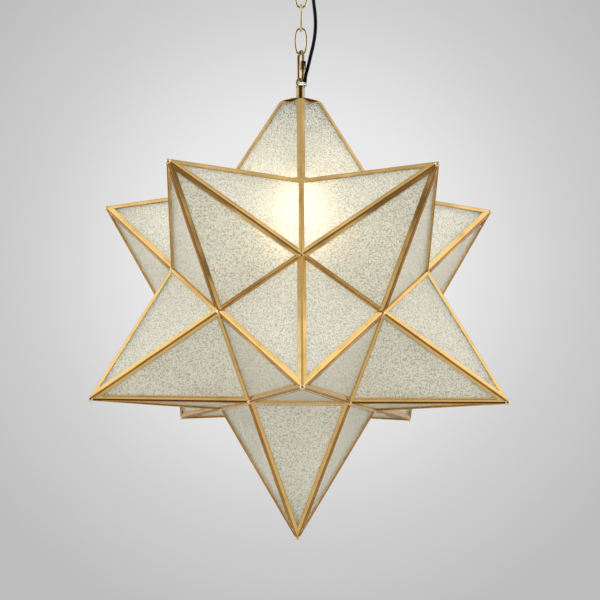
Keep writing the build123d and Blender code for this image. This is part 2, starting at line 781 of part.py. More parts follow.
with BuildPart() as canopy_loop:
    with BuildSketch(Plane.XY.offset(canopy_loop_base_z - canopy_loop_base_height)):
        Circle(canopy_loop_base_radius)
    extrude(amount=canopy_loop_base_height)
    fillet(edges().group_by(Axis.Z)[0], canopy_loop_base_radius / 3)
    with Locations((0, 0, canopy_ring_z)):
        Torus(canopy_loop_ring_radius, canopy_loop_wire_radius, rotation=(0, 90, 0))
    with BuildSketch(Plane.XY.offset(nipple_end_z)):
        Circle(nipple_radius + thread_clearance)
    extrude(amount=canopy_loop_base_z - nipple_end_z, mode=Mode.SUBTRACT)
canopy_loop.part.label = "canopy_loop"
export_step(canopy_loop.part, "parts/canopy_loop.step")

with BuildPart() as earth_screw:
    with BuildSketch(Plane.XY.offset(-bar_thickness)):
        with Locations((earth_screw_place, 0)):
            Circle(earth_screw_radius)
    extrude(amount=bar_thickness)
    with BuildSketch(Plane.XY.offset(-bar_thickness - earth_screw_head_height)):
        with Locations((earth_screw_place, 0)):
            Circle(earth_screw_head_radius)
    extrude(amount=earth_screw_head_height)
earth_screw.part.label = "earth_screw"
export_step(earth_screw.part, "parts/earth_screw.step")

terminal_near = nipple_nut_size / math.sqrt(3) + 1.0  # clear of the nut's corners
terminal_z = -bar_thickness - terminal_height

with BuildPart() as terminal_block:
    with BuildSketch(Plane.XY.offset(terminal_z)):
        with Locations((terminal_near + terminal_length / 2, 0)):
            Rectangle(terminal_length, terminal_width)
    extrude(amount=terminal_height)
    with BuildSketch(Plane.XZ.offset(terminal_width / 2)):
        with Locations((terminal_near + terminal_length / 2, terminal_z + terminal_height / 2)):
            with GridLocations(terminal_length / 3, 1, 3, 1):
                Circle(1.8)
    extrude(amount=-terminal_width / 3, mode=Mode.SUBTRACT)
terminal_block.part.label = "terminal_block"
export_step(terminal_block.part, "parts/terminal_block.step")

# ---------------------------------------------------------------- cord grip and cord

grip_tail_z = -canopy_height + canopy_wall + grip_tail_length

with BuildPart() as cord_grip:
    with BuildSketch(Plane.XY.offset(-canopy_height)):
        with Locations((grip_place, 0)):
            Circle(grip_radius)
    extrude(amount=canopy_wall)
    with BuildSketch(Plane.XY.offset(-canopy_height + canopy_wall)):
        with Locations((grip_place, 0)):
            RegularPolygon(grip_flange_radius, 6)
    extrude(amount=grip_tail_length)
    with BuildSketch(Plane.XY.offset(-canopy_height - grip_flange_thickness)):
        with Locations((grip_place, 0)):
            Circle(grip_flange_radius)
    extrude(amount=grip_flange_thickness)
    with BuildSketch(Plane.XY.offset(-canopy_height - grip_flange_thickness)):
        with Locations((grip_place, 0)):
            Circle(grip_radius)
    with BuildSketch(Plane.XY.offset(grip_end_z)):
        with Locations((grip_place, 0)):
            Circle(cord_diameter / 2 + 0.7)
    loft()
cord_grip.part.label = "cord_grip"
export_step(cord_grip.part, "parts/cord_grip.step")

with BuildPart() as canopy_lead:
    with BuildSketch(Plane.XY.offset(grip_tail_z)):
        with Locations((grip_place, 0)):
            Circle(cord_diameter / 2)
    extrude(amount=terminal_z - grip_tail_z)
canopy_lead.part.label = "canopy_lead"
export_step(canopy_lead.part, "parts/canopy_lead.step")

# The cord hangs beside the chain: down from the grip, round to the front and the right of the chain,
# and in to the outlet. It is longer than the way, so that the pendant can swing.
outlet_exit = (4.8, -1.9)
cord_route = [
    (grip_place, 0, grip_end_z),
    (grip_place, 0, -38.5),
    (14.6, -2.8, -48.0),
    (12.2, -8.0, -59.0),
    (13.4, -11.5, -72.0),
    (15.3, -12.5, -87.0),
    (15.6, -10.8, -102.0),
    (13.7, -8.0, -116.0),
    (10.5, -5.2, -129.5),
    (7.7, -3.0, -142.0),
    (*outlet_exit, -152.0),
    (*outlet_exit, outlet_top_z),
]


def corner_radii(route):
    """The largest arcs that the runs leave room for."""
    points, radii = [Vector(*p) for p in route], []
    for before, here, after in zip(points, points[1:], points[2:]):
        turn = (here - before).get_angle(after - here)
        shorter = min((here - before).length, (after - here).length)
        radii.append(0.45 * shorter / math.tan(math.radians(turn / 2)))
    return radii


with BuildPart() as cord:
    with BuildLine() as cord_line:
        FilletPolyline(*cord_route, radius=corner_radii(cord_route))
    with BuildSketch(Plane(origin=cord_line.line @ 0, z_dir=cord_line.line % 0)):
        Circle(cord_diameter / 2)
    sweep(path=cord_line.line)
cord.part.label = "cord"
export_step(cord.part, "parts/cord.step")

section = math.pi * cord_diameter**2 / 4
cord_length = sum(edge.length for edge in cord_line.edges())
print("cord length", round(cord_length, 1), "radii", [round(r) for r in corner_radii(cord_route)])
print("cord volume", round(cord.part.volume), "section x length", round(section * cord_length))
print("star centre z", round(star_z, 2), "swing z", round(swing_z, 2), "outlet top z", round(outlet_top_z, 2))
print("ridge fold", round(ridge_fold, 2), "valley fold", round(valley_fold, 2))
print("hinge axis", (hinge_plane.location * Location((0, 0, valley_height + hinge_rise))).position)
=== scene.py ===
# %% [markdown]
# # A Moravian star pendant
#
# This notebook dresses a ready-made CAD model of a glass star lantern. The CAD model holds every
# piece at its true size and place. Here each piece gets its finish, and the small things that a
# maker's hands leave, such as solder, are modelled on top.
#
# Lengths are in metres. The origin is on the ceiling, +Z is up, and the photograph is taken from
# the -Y side, with +X to the right.

# %% Load the frame
import bpy, itertools, json, math
from mathutils import Matrix, Vector


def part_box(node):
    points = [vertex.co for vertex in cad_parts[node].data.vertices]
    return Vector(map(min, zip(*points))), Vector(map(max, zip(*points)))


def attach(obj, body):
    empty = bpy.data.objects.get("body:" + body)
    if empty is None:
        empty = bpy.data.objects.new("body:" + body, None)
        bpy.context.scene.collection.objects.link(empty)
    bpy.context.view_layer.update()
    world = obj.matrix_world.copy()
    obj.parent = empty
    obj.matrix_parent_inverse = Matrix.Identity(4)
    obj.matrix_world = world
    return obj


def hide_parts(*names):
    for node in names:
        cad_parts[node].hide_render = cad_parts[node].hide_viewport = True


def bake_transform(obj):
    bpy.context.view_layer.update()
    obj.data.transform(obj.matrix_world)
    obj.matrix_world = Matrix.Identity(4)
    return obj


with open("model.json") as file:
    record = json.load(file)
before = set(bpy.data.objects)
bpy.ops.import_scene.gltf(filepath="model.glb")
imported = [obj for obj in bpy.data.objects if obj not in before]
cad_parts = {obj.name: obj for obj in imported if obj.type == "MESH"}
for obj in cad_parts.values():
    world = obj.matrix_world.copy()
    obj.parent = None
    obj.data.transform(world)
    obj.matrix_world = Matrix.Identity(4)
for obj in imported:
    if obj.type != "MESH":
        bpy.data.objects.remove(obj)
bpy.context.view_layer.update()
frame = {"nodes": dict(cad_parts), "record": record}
NODES = frame["nodes"]


# %% [markdown]
# ## Where the star is
#
# The star is made of twelve points. The top point is cut off under a disc, so the star's centre is
# found from the bottom point: its tip is the lowest place of the whole object.

# %% The star's centre and its tips
TIP_RADIUS = 0.250
CORNER_RADIUS = 0.142
STAR_CENTRE = Vector((0, 0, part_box("bottom_point_frame")[0][2] + TIP_RADIUS))
RING_LEVEL = math.atan(0.5)


def ring_tip(azimuth, level):
    """Direction of a point in one of the two rings; azimuth 0 faces the viewer."""
    turn = math.radians(azimuth)
    return Vector((math.sin(turn) * math.cos(level), -math.cos(turn) * math.cos(level), math.sin(level)))


TIPS = {"top_point": Vector((0, 0, 1)), "bottom_point": Vector((0, 0, -1))}
for k in range(5):
    TIPS[f"upper_point_{k + 1}"] = ring_tip(36 + 72 * k, RING_LEVEL)
    TIPS[f"lower_point_{k + 1}"] = ring_tip(72 * k, -RING_LEVEL)
TIPS["access_point"] = TIPS.pop("upper_point_3")
print("star centre", STAR_CENTRE, "points", len(TIPS))

# %% [markdown]
# ## The camera
#
# The photograph looks slightly up at the star from about 1.9 m away, through a long lens. The
# camera's place was found by matching the star's tips and corners to the photograph. A tiny shift
# moves the star off the exact middle of the frame, as it is there.

# %% Camera
EYE_FROM_STAR = Vector((-0.0303, -1.9020, -0.2620))
FOCAL_LENGTH = 108.57
SENSOR_WIDTH = 36
ROLL = math.radians(0.40)
IMAGE_SIZE = 600
STAR_PIXEL = (299.04, 301.36)

bpy.ops.object.select_all(action="DESELECT")
camera_data = bpy.data.cameras.new("camera")
camera = bpy.data.objects.new("camera", camera_data)
bpy.context.scene.collection.objects.link(camera)
camera.location = STAR_CENTRE + EYE_FROM_STAR
look = (-EYE_FROM_STAR).to_track_quat("-Z", "Y").to_matrix().to_4x4()
camera.rotation_euler = (look @ Matrix.Rotation(ROLL, 4, "Z")).to_euler()
camera_data.lens = FOCAL_LENGTH
camera_data.sensor_width = SENSOR_WIDTH
camera_data.shift_x = (IMAGE_SIZE / 2 - STAR_PIXEL[0]) / IMAGE_SIZE
camera_data.shift_y = (STAR_PIXEL[1] - IMAGE_SIZE / 2) / IMAGE_SIZE
bpy.context.scene.camera = camera
print("camera at", camera.location, "focal length", FOCAL_LENGTH)

# %% [markdown]
# ## Shader maths
#
# A material's pattern is a sum of small formulas. Writing them as node links by hand is slow to
# read, so one small class wraps a socket: adding or multiplying two of them adds a Math node. Any
# other node comes from one method, which takes the node's type, its settings and its inputs.


# %% A small shader helper
X, Y, Z = range(3)
COLOUR_RESULT = 2


class Wire:
    """One output socket; arithmetic on it adds Math nodes to its material."""

    def __init__(self, shader, socket):
        self.shader = shader
        self.socket = socket

    def maths(self, operation, *values):
        return self.shader.node("ShaderNodeMath", {"operation": operation}, dict(enumerate(values)))

    def __add__(self, other):
        return self.maths("ADD", self, other)

    def __radd__(self, other):
        return self.maths("ADD", other, self)

    def __sub__(self, other):
        return self.maths("SUBTRACT", self, other)

    def __rsub__(self, other):
        return self.maths("SUBTRACT", other, self)

    def __mul__(self, other):
        return self.maths("MULTIPLY", self, other)

    def __rmul__(self, other):
        return self.maths("MULTIPLY", other, self)

    def smooth(self, low, high):
        """0 below low, 1 above high, and a soft step between them."""
        settings = {"interpolation_type": "SMOOTHSTEP"}
        inputs = {"Value": self, "From Min": low, "From Max": high}
        return self.shader.node("ShaderNodeMapRange", settings, inputs)


class Shader:
    """A node tree of a material or the world."""

    def __init__(self, tree):
        self.tree = tree
        tree.nodes.clear()

    def node(self, kind, settings=None, inputs=None, output=0):
        """Adds a node, with its settings first, then the values or links of its sockets."""
        node = self.tree.nodes.new(kind)
        for name, value in (settings or {}).items():
            if name == "stops":
                self.set_stops(node.color_ramp, value)
            else:
                setattr(node, name, value)
        for name, value in (inputs or {}).items():
            self.plug(node, name, value)
        return Wire(self, node.outputs[output])

    def plug(self, node, name, value):
        """Sets a socket to a value, or links it. A name stands for the first enabled socket of it."""
        named = [s for s in node.inputs if s.name == name and s.enabled]
        socket = node.inputs[name] if isinstance(name, int) or not named else named[0]
        if isinstance(value, Wire):
            self.tree.links.new(value.socket, socket)
        else:
            socket.default_value = value

    def set_stops(self, ramp, stops):
        """Stops are pairs of a place from 0 to 1 and a colour."""
        while len(ramp.elements) < len(stops):
            ramp.elements.new(1.0)
        for element, (place, colour) in zip(ramp.elements, stops):
            element.position = place
            element.color = (*colour, 1.0)

    def place(self):
        """The point of the object that is shaded, in metres."""
        return self.node("ShaderNodeTexCoord", output="Object")

    def shifted(self, metres):
        """The same point moved, so that a second pattern differs from the first."""
        both = {0: self.place(), 1: (metres,) * 3}
        return self.node("ShaderNodeVectorMath", {"operation": "ADD"}, both)

    def part(self, vector, axis):
        """One coordinate of a vector: X, Y or Z."""
        return self.node("ShaderNodeSeparateXYZ", None, {"Vector": vector}, axis)

    def noise(self, scale, detail=2.0, roughness=0.5, vector=None):
        """Cloudy pattern from 0 to 1, with about scale clouds a metre."""
        inputs = {"Vector": vector or self.place(), "Scale": scale}
        inputs.update({"Detail": detail, "Roughness": roughness})
        return self.node("ShaderNodeTexNoise", None, inputs)

    def mix(self, factor, first, second):
        """A colour between two others."""
        inputs = {"Factor": factor, "A": first, "B": second}
        return self.node("ShaderNodeMix", {"data_type": "RGBA"}, inputs, COLOUR_RESULT)

    def bump(self, height, distance, strength=1.0):
        """A normal that leans as a surface of this height would."""
        inputs = {"Height": height, "Distance": distance, "Strength": strength}
        return self.node("ShaderNodeBump", None, inputs)


def screen_to_light(value):
    """The standard curve from a screen value to the light it stands for, both from 0 to 1."""
    if value <= 0.04045:
        return value / 12.92
    return ((value + 0.055) / 1.055) ** 2.4


def rgb(r, g, b):
    """A colour given in 0-255 screen values, as the linear light that shaders use."""
    return tuple(screen_to_light(v / 255) for v in (r, g, b)) + (1.0,)


def dimmed(colour, share):
    """The same colour with only a share of its light."""
    return tuple(c * share for c in colour[:3]) + (1.0,)


def new_material(name, **sockets):
    """A material with one Principled shader, whose sockets are given by name with _ for each space."""
    material = bpy.data.materials.new(name)
    material.use_nodes = True
    shader = Shader(material.node_tree)
    bsdf = material.node_tree.nodes.new("ShaderNodeBsdfPrincipled")
    output = material.node_tree.nodes.new("ShaderNodeOutputMaterial")
    material.node_tree.links.new(bsdf.outputs[0], output.inputs[0])
    for socket, value in sockets.items():
        shader.plug(bsdf, socket.replace("_", " "), value)
    return material, shader, bsdf


print("half a screen's white is", round(rgb(128, 128, 128)[0], 3), "of its light")

# %% [markdown]
# ## Brass strip
#
# The star's frame is thin polished brass, folded over every edge. Polished brass is one bright
# metal colour, so its look comes from what it mirrors. Slight waves from the rolling and faint
# smears of handling break the reflections, and the metal browns a little where it was handled.


# %% Brass materials
CLOUDS_A_METRE = 45.0
SMEARS_A_METRE = 260.0
WAVES_A_METRE = 16.0
WAVE_HEIGHT = 0.0040
RIPPLES_A_METRE = 420.0
RIPPLE_HEIGHT = 0.000016
UNDERSIDE_PAINTED_SHADE = rgb(96, 74, 44)
SHADE_EDGE = 0.0002


def brass(name, pale, brown, tarnish, roughness, shade_below=None):
    """Polished brass between a pale and a browned tone; tarnish is the share that has browned.

    Below the last given height, if there is one, the colour is painted dark, as shade.
    """
    material, shader, bsdf = new_material(name, Metallic=1.0)
    clouds = shader.noise(CLOUDS_A_METRE, 4.0, 0.6)
    smears = shader.noise(SMEARS_A_METRE, 3.0, 0.55)
    browned = clouds.smooth(0.62 - 0.3 * tarnish, 0.85)
    tone = shader.mix(browned * tarnish, pale, brown)
    # Painted shade: below the given height the base colour turns dark brown.
    if shade_below is not None:
        level = shader.part(shader.place(), Z)
        tone = shader.mix(level.smooth(shade_below, shade_below + SHADE_EDGE), UNDERSIDE_PAINTED_SHADE, tone)
    shader.plug(bsdf, "Base Color", tone)
    shader.plug(bsdf, "Roughness", roughness + 0.10 * smears + 0.12 * browned * tarnish)
    waves = WAVE_HEIGHT * shader.noise(WAVES_A_METRE, 1.0, 0.5)
    ripples = RIPPLE_HEIGHT * shader.noise(RIPPLES_A_METRE, 2.0, 0.5)
    shader.plug(bsdf, "Normal", shader.bump(waves + ripples, 1.0))
    return material


STRIP_TONES = (rgb(242, 204, 132), rgb(186, 138, 68))
cap_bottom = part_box("cap_disc")[0][2]
strip_brass = brass("strip_brass", *STRIP_TONES, 0.45, 0.13)
# The cap's underside is painted dark, as shade.
cap_brass_shaded_below = brass("cap_brass_shaded_below", *STRIP_TONES, 0.45, 0.13, shade_below=cap_bottom + SHADE_EDGE)
# The fold's darker brass is painted shade: it draws the dark line of a ridge's crease.
shaded_fold_brass = brass("shaded_fold_brass", rgb(188, 138, 70), rgb(128, 88, 40), 0.6, 0.10)
solder = brass("solder", rgb(250, 224, 182), rgb(214, 166, 106), 0.4, 0.10)
fitting_brass = brass("fitting_brass", rgb(240, 226, 188), rgb(132, 114, 74), 0.6, 0.06)
# A darker brass for the quick link and what hangs from it.
darker_brass = brass("darker_brass", rgb(190, 166, 112), rgb(96, 80, 48), 0.9, 0.06)
print("brass", [m.name for m in (strip_brass, cap_brass_shaded_below, shaded_fold_brass, solder, fitting_brass, darker_brass)])

# %% [markdown]
# ## Seeded glass
#
# Each pane is rolled with a fine, sharp grain that scatters what is behind it, so the bulb shows only as
# a soft glow. Two shaders are mixed: rough clear glass, and a translucent one that glows where light
# falls on its back. The grain is also painted into the colour: painted shade in its hollows, where its
# steep sides turn light away, painted glints on its peaks and in scattered light specks, and the glass's
# own scattered dark specks. Near the cap the dark specks and the deepest hollows are painted darker
# still, as shade. The glass itself is nearly white.


# %% Glass material
WARM_GLASS = rgb(249, 236, 220)
COOL_GLASS = rgb(230, 241, 230)
PALE_GLASS = rgb(238, 244, 232)
GRAIN_SHADE = rgb(174, 167, 150)
SPECK = rgb(84, 78, 66)
CAP_PAINTED_SHADE = rgb(34, 36, 34)
PAINTED_GLINT = rgb(255, 255, 253)
GRAINS_A_METRE = 640.0
HUES_A_METRE = 380.0
DRIFTS_A_METRE = 26.0
DARK_SPECKS_A_METRE = 400.0
GLINT_SPECKS_A_METRE = 480.0
GRAIN_HEIGHT = 0.0005
CAP_SHADE_FROM = 0.150
CAP_SHADE_TO = 0.210


def specks(shader, place, scale, size, share):
    """Scattered dots: 1 in a dot and 0 elsewhere. A share of the cells has one."""
    cell = {"Vector": place, "Scale": scale, "Randomness": 1.0}
    near = shader.node("ShaderNodeTexVoronoi", {"feature": "F1"}, cell)
    blotches = {"Vector": place, "Scale": scale * 0.7, "Detail": 0.0}
    chance = shader.node("ShaderNodeTexNoise", None, blotches)
    return (1.0 - near.smooth(size * 0.5, size)) * chance.smooth(1.0 - share, 1.0 - share + 0.06)


def seeded_glass():
    """Rough clear glass with a grain of specks, painted shade and painted glints, and a small share that
    glows when lit from behind.
    """
    material, shader, bsdf = new_material("seeded_glass", IOR=1.45, Transmission_Weight=0.72)
    place = shader.place()
    grain = shader.noise(GRAINS_A_METRE, 2.0, 0.55, place)
    hue = shader.noise(HUES_A_METRE, 1.0, 0.5, shader.shifted(3.0))
    drift = shader.noise(DRIFTS_A_METRE, 3.0, 0.5, place)
    dark = specks(shader, place, DARK_SPECKS_A_METRE, 0.34, 0.42)
    # The light specks are painted glints.
    light = specks(shader, place, GLINT_SPECKS_A_METRE, 0.40, 0.46)
    level = shader.part(place, Z)
    # Painted shade: a mask that rises towards the cap.
    cap_shade = level.smooth(STAR_CENTRE.z + CAP_SHADE_FROM, STAR_CENTRE.z + CAP_SHADE_TO)
    hollows = 1.0 - grain.smooth(0.41, 0.50)
    deep_hollows = 1.0 - grain.smooth(0.38, 0.44)
    peaks = grain.smooth(0.57, 0.64)
    tone = shader.mix(hue.smooth(0.42, 0.58), WARM_GLASS, COOL_GLASS)
    tone = shader.mix(drift.smooth(0.35, 0.7) * 0.25, tone, PALE_GLASS)
    # Painted shade in the grain's hollows.
    tone = shader.mix(hollows * 0.95, tone, GRAIN_SHADE)
    # The glass's own dark specks, painted darker near the cap as shade.
    tone = shader.mix(dark * (0.7 + 0.3 * cap_shade), tone, SPECK)
    # Painted shade near the cap, in the deepest hollows.
    tone = shader.mix(cap_shade * deep_hollows, tone, CAP_PAINTED_SHADE)
    # Painted glints on the grain's peaks and in the light specks.
    tone = shader.mix(peaks, tone, PAINTED_GLINT)
    tone = shader.mix(light, tone, PAINTED_GLINT)
    shader.plug(bsdf, "Base Color", tone)
    shader.plug(bsdf, "Roughness", 0.36 + 0.26 * grain)
    normal = shader.bump(grain + 0.5 * dark, GRAIN_HEIGHT, 0.6)
    shader.plug(bsdf, "Normal", normal)
    lit_from_behind = {"Color": rgb(250, 248, 240), "Normal": normal}
    back_lit = shader.node("ShaderNodeBsdfTranslucent", None, lit_from_behind)
    both = {0: 0.03 + 0.08 * grain, 1: Wire(shader, bsdf.outputs[0]), 2: back_lit}
    mixed = shader.node("ShaderNodeMixShader", None, both)
    output = material.node_tree.nodes["Material Output"]
    material.node_tree.links.new(mixed.socket, output.inputs[0])
    return material


seeded = seeded_glass()
print("glass", seeded.name)

# %% [markdown]
# ## Other finishes
#
# The lampholder, the cord's grip and the terminal block are moulded plastic, and the cord outlet is
# clear plastic. The bar, the nuts, the washer, the nipple and the earth screw are zinc-plated steel,
# and the bulb's base and the shell that takes it are drawn metal. The globe is lit: it is frosted
# glass that gives warm light of its own.


# %% Plastics, steel and the lamp
PLASTIC_GRAIN_HEIGHT = 0.00004
METAL_STREAK_HEIGHT = 0.00003


def moulded(name, colour, roughness, grain_scale=900.0, shine=0.5):
    """A moulded plastic with a slight grain and cloudy wear in its gloss."""
    material, shader, bsdf = new_material(name, Specular_IOR_Level=shine)
    grain = shader.noise(grain_scale, 3.0, 0.5)
    wear = shader.noise(60.0, 3.0, 0.5)
    tone = shader.mix(wear.smooth(0.4, 0.75) * 0.5, colour, dimmed(colour, 0.8))
    shader.plug(bsdf, "Base Color", tone)
    shader.plug(bsdf, "Roughness", roughness + 0.12 * wear)
    shader.plug(bsdf, "Normal", shader.bump(grain, PLASTIC_GRAIN_HEIGHT, 0.4))
    return material


def plain_metal(name, colour, roughness):
    """A plated or drawn metal, finely streaked and clouded."""
    material, shader, bsdf = new_material(name, Metallic=1.0)
    streaks = shader.noise(700.0, 2.0, 0.6)
    clouds = shader.noise(50.0, 3.0, 0.6)
    tone = shader.mix(clouds.smooth(0.35, 0.8) * 0.6, colour, dimmed(colour, 0.62))
    shader.plug(bsdf, "Base Color", tone)
    shader.plug(bsdf, "Roughness", roughness + 0.15 * clouds)
    shader.plug(bsdf, "Normal", shader.bump(streaks, METAL_STREAK_HEIGHT, 0.4))
    return material


cord_black = moulded("cord_black", rgb(3, 3, 3), 0.36, 3000.0, 0.22)
holder_white = moulded("holder_white", rgb(232, 229, 220), 0.3)
moulded_white = moulded("moulded_white", rgb(226, 223, 214), 0.42)
zinc = plain_metal("zinc_steel", rgb(200, 200, 196), 0.30)
drawn_metal = plain_metal("drawn_metal", rgb(214, 212, 206), 0.22)


def clear():
    """Clear plastic, a little clouded by handling."""
    material, shader, bsdf = new_material("clear_plastic", Transmission_Weight=0.55, IOR=1.45)
    clouds = shader.noise(500.0, 3.0, 0.5)
    shader.plug(bsdf, "Base Color", shader.mix(clouds, rgb(214, 216, 214), rgb(250, 250, 248)))
    shader.plug(bsdf, "Roughness", 0.12 + 0.2 * clouds)
    return material


BULB_GLOW = 6.4


def lit_globe():
    """Frosted glass that gives warm light of its own."""
    material, shader, bsdf = new_material("bulb_glass", Emission_Strength=BULB_GLOW)
    clouds = shader.noise(40.0, 2.0, 0.5)
    shader.plug(bsdf, "Base Color", shader.mix(clouds, rgb(250, 246, 238), rgb(255, 252, 246)))
    glow = shader.mix(clouds, rgb(255, 234, 202), rgb(255, 240, 214))
    shader.plug(bsdf, "Emission Color", glow)
    shader.plug(bsdf, "Roughness", 0.35 + 0.1 * clouds)
    return material


FINISH = {
    "strip_brass": strip_brass,
    "fitting_brass": fitting_brass,
    "seeded_glass": seeded,
    "zinc_steel": zinc,
    "black_cord": cord_black,
    "clear_plastic": clear(),
    "white_plastic": moulded_white,
    "holder_plastic": holder_white,
    "lamp_metal": drawn_metal,
    "bulb_glass": lit_globe(),
}


def paint(piece, material):
    """Gives a piece one material in its first slot."""
    piece.data.materials.clear()
    piece.data.materials.append(material)


# The quick link and what hangs from it are darker than the chain. The cap's underside is painted dark,
# as shade.
SPECIAL = {
    "quick_link": darker_brass,
    "link_sleeve": darker_brass,
    "hang_loop": darker_brass,
    "stem_tube": darker_brass,
    "cap_disc": cap_brass_shaded_below,
}
for subpart in frame["record"]["subparts"]:
    name = subpart["node"]
    for slot in NODES[name].material_slots:
        slot.material = SPECIAL.get(name, FINISH[subpart["material_slot"]])
print("finishes", sorted(FINISH))

# %% [markdown]
# ## Solder
#
# Where strips meet, a maker closes the joint with a drop of solder. There is a ball on every whole
# tip, and a low mound in every inner corner but the five that the access point opens from. Each is
# an ico sphere, made lumpy by a displace modifier, and those of one body are joined to one object.


# %% Solder beads
def only_select(*pieces):
    """Selects these pieces and nothing else."""
    bpy.ops.object.select_all(action="DESELECT")
    for piece in pieces:
        piece.select_set(True)
    bpy.context.view_layer.objects.active = pieces[0]


def apply_all(piece):
    """Turns the piece's modifiers and its place into plain mesh."""
    only_select(piece)
    bpy.ops.object.convert(target="MESH")
    bpy.ops.object.transform_apply(location=True, rotation=True, scale=True)


DROP_RADIUS = 0.0026
BALL_HEIGHT = 0.0029
BALL_DISTANCE = TIP_RADIUS - 0.0016
MOUND_HEIGHT = 0.0019
MOUND_DISTANCE = CORNER_RADIUS + 0.0004
LUMP_HEIGHT = 0.0007
LUMP_SIZE = 0.0016
NEIGHBOURS = 0.4
lumps = bpy.data.textures.new("solder_lumps", "CLOUDS")
lumps.noise_scale = LUMP_SIZE


def bead(outward, distance, height):
    """A lumpy drop on the star, at a distance from its centre and with a height outward."""
    place = STAR_CENTRE + outward * distance
    bpy.ops.object.select_all(action="DESELECT")
    bpy.ops.mesh.primitive_ico_sphere_add(subdivisions=4, radius=1.0, location=place)
    drop = bpy.context.object
    drop.scale = (DROP_RADIUS, DROP_RADIUS, height)
    drop.rotation_euler = outward.to_track_quat("Z", "Y").to_euler()
    bpy.ops.object.transform_apply(location=False, rotation=True, scale=True)
    displace = drop.modifiers.new("lumps", "DISPLACE")
    displace.texture = lumps
    displace.texture_coords = "GLOBAL"
    displace.strength = LUMP_HEIGHT
    apply_all(drop)
    bpy.ops.object.shade_smooth()
    return drop


def join_as(name, pieces):
    """Joins the pieces to one object of this name."""
    only_select(*pieces)
    if len(pieces) > 1:
        bpy.ops.object.join()
    joined = bpy.context.view_layer.objects.active
    joined.name = name
    joined.data.name = name
    only_select(joined)
    bpy.ops.object.transform_apply(location=True, rotation=True, scale=True)
    return joined


star_drops = []
for name, tip in TIPS.items():
    if name not in ("top_point", "access_point"):
        star_drops.append(bead(tip, BALL_DISTANCE, BALL_HEIGHT))

# A corner lies between three tips that are next to one another.
corners = []
for trio in itertools.combinations(sorted(TIPS), 3):
    pairs = itertools.combinations(trio, 2)
    if min(TIPS[first] @ TIPS[second] for first, second in pairs) > NEIGHBOURS:
        middle = sum((TIPS[name] for name in trio), Vector())
        corners.append((middle.normalized(), trio))
for outward, around in corners:
    if "access_point" not in around:
        star_drops.append(bead(outward, MOUND_DISTANCE, MOUND_HEIGHT))
star_solder = join_as("star_solder", star_drops)
access_drop = bead(TIPS["access_point"], BALL_DISTANCE, BALL_HEIGHT)
access_solder = join_as("access_solder", [access_drop])
for piece, body in ((star_solder, "star"), (access_solder, "access_point")):
    paint(piece, solder)
    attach(piece, body)
print("corners", len(corners), "drops", len(star_drops) + 1)

# %% [markdown]
# ## Rolled edges
#
# The strips' edges are not cut sharp: they are rolled to a thin round bead, which draws the fine light
# and dark lines beside the glass. One bead runs round the inside of each pane's frame. Its path is the
# pane's outline, moved inwards by the width of the strips, as a closed curve with a round bevel. The
# fold over a ridge is round too, and of a darker brass that paints the crease's shade as a dark line.
# Five beads and five folds make one whole point, which is copied to the others. The cut top point has
# its own.


# %% Rolled edges
TIP_TO_CORNER = math.acos(math.sqrt((5 + 2 * math.sqrt(5)) / 15))
RIDGE_WIDTH = 0.0044
VALLEY_WIDTH = 0.0033
STRIP_THICKNESS = 0.0009
BEAD_RADIUS = 0.00042
FOLD_RADIUS = 0.0009
FOLD_RISE = 0.0002
FOLD_ENDS = 0.0012
BEAD_ROUNDNESS = 1
FOLD_ROUNDNESS = 4
base_radius = CORNER_RADIUS * math.sin(TIP_TO_CORNER)
base_height = CORNER_RADIUS * math.cos(TIP_TO_CORNER)
rim_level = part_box("top_rim_strips")[0][2] - STAR_CENTRE.z
cut_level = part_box("top_rim_strips")[1][2] - STAR_CENTRE.z
cut_share = (cut_level - base_height) / (TIP_RADIUS - base_height)


def base_corner(k):
    """One of the five corners round the foot of a point that stands on +Z."""
    turn = math.radians(72 * k)
    return Vector((base_radius * math.cos(turn), base_radius * math.sin(turn), base_height))


def inset(outline, widths, normal):
    """The outline with each side moved inwards by its width; side i starts at point i."""
    count = len(outline)
    inward = [normal.cross(outline[(i + 1) % count] - outline[i]).normalized() for i in range(count)]
    moved = []
    for i, point in enumerate(outline):
        first, second = inward[i - 1], inward[i]
        overlap = first @ second
        along = (widths[i] - overlap * widths[i - 1]) / (1 - overlap**2)
        moved.append(point + first * (widths[i - 1] - overlap * along) + second * along)
    return moved


def tube_along(points, radius, roundness, closed):
    """A round wire along the points, as a mesh."""
    data = bpy.data.curves.new("edge", "CURVE")
    data.dimensions = "3D"
    spline = data.splines.new("POLY")
    spline.points.add(len(points) - 1)
    for control, point in zip(spline.points, points):
        control.co = (*point, 1.0)
    spline.use_cyclic_u = closed
    data.bevel_depth = radius
    data.bevel_resolution = roundness
    data.use_fill_caps = not closed
    tube = bpy.data.objects.new("edge", data)
    bpy.context.scene.collection.objects.link(tube)
    only_select(tube)
    bpy.ops.object.convert(target="MESH")
    bpy.ops.object.shade_smooth()
    return bpy.context.view_layer.objects.active


def pane_normal(k, tip):
    """The outward direction of the pane between two corners and the tip."""
    start, end = base_corner(k), base_corner(k + 1)
    return (end - start).cross(tip - end).normalized()


